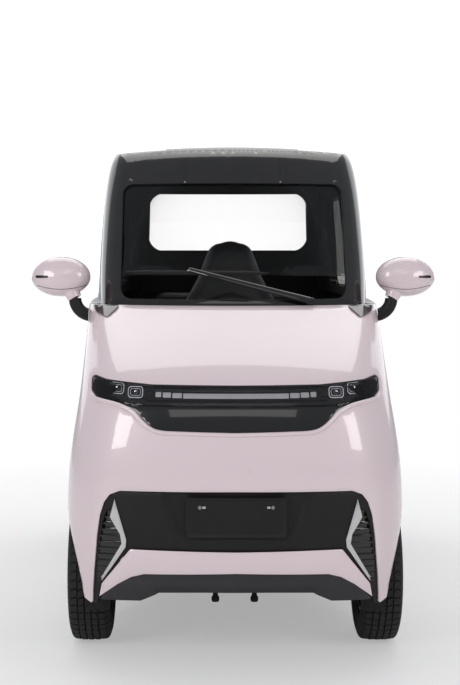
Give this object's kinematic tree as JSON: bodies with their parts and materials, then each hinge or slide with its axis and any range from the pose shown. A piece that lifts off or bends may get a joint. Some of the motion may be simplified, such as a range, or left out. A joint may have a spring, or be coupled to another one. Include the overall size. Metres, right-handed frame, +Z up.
{
  "type": "electric city car",
  "caption": "Small enclosed electric city car with wraparound glasshouse, side doors, lifting tailgate, steered front wheels and central driver seat",
  "frame": {"origin": "on the ground under the centre of the body, midway between nose and tail", "axes": "nose towards -Y, +X is the car's own left, +Z up"},
  "size_m": [1.4242, 2.3602, 1.6999],
  "materials": {
    "body": "gloss",
    "gloss_black": "gloss",
    "satin_black": "satin",
    "dark_grey": "satin",
    "window_glass": "polished",
    "steel": "brushed",
    "painted_steel": "satin",
    "cabin_plastic": "matte",
    "upholstery": "woven",
    "tyre": "matte",
    "alloy": "satin",
    "lamp": "clear",
    "clear_lens": "clear",
    "bright_trim": "satin",
    "red_lamp": "clear"
  },
  "bodies": {
    "car_body": {"front_fascia": "body", "light_band": "gloss_black", "lamp_lens": "clear_lens", "lamp_units": "lamp", "grille_panel": "satin_black", "corner_vents": "satin_black", "corner_accents": "bright_trim", "plate_bracket": "satin_black", "front_lip": "dark_grey", "rear_body": "body", "rear_bumper": "satin_black", "tail_lamps": "red_lamp", "sills": "body", "upper_frame": "gloss_black", "roof_panel": "gloss_black", "fixed_glass": "window_glass", "hinge_leaves": "steel", "cabin_tub": "satin_black", "dashboard": "cabin_plastic", "steering_column": "cabin_plastic", "driver_seat": "upholstery", "seat_bases": "cabin_plastic", "rear_seat": "upholstery", "chassis_frame": "painted_steel", "battery_pack": "painted_steel", "front_suspension": "painted_steel", "rear_axle": "painted_steel", "mirror_housings": "body", "mirror_arms": "dark_grey", "wiper": "satin_black"},
    "steering_wheel": {"steering_wheel": "cabin_plastic"},
    "knuckle_left": {"knuckle_left": "steel"},
    "knuckle_right": {"knuckle_right": "steel"},
    "wheel_front_left": {"tyre_front_left": "tyre", "rim_front_left": "alloy"},
    "wheel_front_right": {"tyre_front_right": "tyre", "rim_front_right": "alloy"},
    "wheel_rear_left": {"tyre_rear_left": "tyre", "rim_rear_left": "alloy"},
    "wheel_rear_right": {"tyre_rear_right": "tyre", "rim_rear_right": "alloy"},
    "door_left": {"door_panel_left": "body", "door_frame_left": "gloss_black", "door_glass_left": "window_glass"},
    "door_right": {"door_panel_right": "body", "door_frame_right": "gloss_black", "door_glass_right": "window_glass"},
    "tailgate": {"tailgate_panel": "body", "tailgate_glass": "window_glass"}
  },
  "joints": [
    {"name": "steering_wheel_turn", "type": "hinge", "parent": "car_body", "child": "steering_wheel", "pos_m": [0, -0.33, 0.964], "axis": [0, 0.8829, 0.4695], "range_deg": [-420, 420]},
    {"name": "steer_left", "type": "hinge", "parent": "car_body", "child": "knuckle_left", "pos_m": [0.434, -0.76, 0.247], "axis": [0, 0, 1], "range_deg": [-30, 30]},
    {"name": "steer_right", "type": "hinge", "parent": "car_body", "child": "knuckle_right", "pos_m": [-0.434, -0.76, 0.247], "axis": [0, 0, 1], "range_deg": [-30, 30]},
    {"name": "roll_front_left", "type": "hinge", "parent": "knuckle_left", "child": "wheel_front_left", "pos_m": [0.474, -0.76, 0.247], "axis": [1, 0, 0], "continuous": true},
    {"name": "roll_front_right", "type": "hinge", "parent": "knuckle_right", "child": "wheel_front_right", "pos_m": [-0.474, -0.76, 0.247], "axis": [1, 0, 0], "continuous": true},
    {"name": "roll_rear_left", "type": "hinge", "parent": "car_body", "child": "wheel_rear_left", "pos_m": [0.474, 0.78, 0.247], "axis": [1, 0, 0], "continuous": true},
    {"name": "roll_rear_right", "type": "hinge", "parent": "car_body", "child": "wheel_rear_right", "pos_m": [-0.474, 0.78, 0.247], "axis": [1, 0, 0], "continuous": true},
    {"name": "door_left_hinge", "type": "hinge", "parent": "car_body", "child": "door_left", "pos_m": [0.5475, -0.418, 0.34], "axis": [0, 0, 1], "range_deg": [-65, 0]},
    {"name": "door_right_hinge", "type": "hinge", "parent": "car_body", "child": "door_right", "pos_m": [-0.5475, -0.418, 0.34], "axis": [0, 0, 1], "range_deg": [0, 65]},
    {"name": "tailgate_hinge", "type": "hinge", "parent": "car_body", "child": "tailgate", "pos_m": [0, 0.984, 1.604], "axis": [1, 0, 0], "range_deg": [0, 80]}
  ],
  "couplings": [
    {"joint": "steer_left", "follows": "steering_wheel_turn", "ratio": -0.071429},
    {"joint": "steer_right", "follows": "steering_wheel_turn", "ratio": -0.071429}
  ]
}
